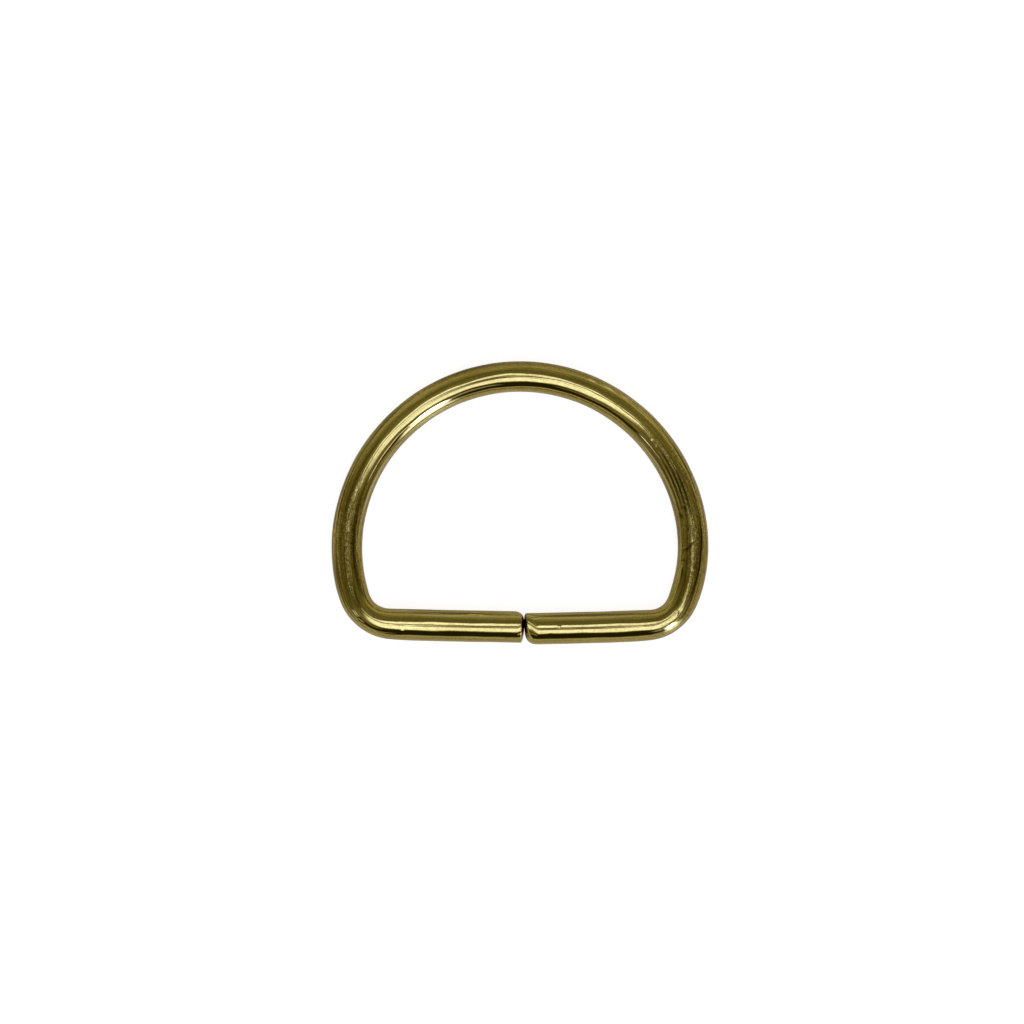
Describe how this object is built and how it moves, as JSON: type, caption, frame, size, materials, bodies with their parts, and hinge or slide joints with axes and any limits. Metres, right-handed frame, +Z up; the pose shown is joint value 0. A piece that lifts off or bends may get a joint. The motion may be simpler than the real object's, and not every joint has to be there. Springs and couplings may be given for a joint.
{
  "type": "d ring",
  "caption": "D-shaped ring bent from one round brass wire, with a straight bar for a strap and a seam where the wire's ends meet.",
  "frame": {"origin": "on the surface that the ring lies on, under the middle of its box", "axes": "+X along the straight bar, +Y from the bar towards the top of the crown, +Z up out of the ring's plane"},
  "size_m": [0.0456, 0.0344, 0.0038],
  "materials": {
    "brass": "polished, with draw lines, scuffs and a slight tarnish"
  },
  "bodies": {
    "root": {"ring_wire": "brass"}
  },
  "joints": []
}
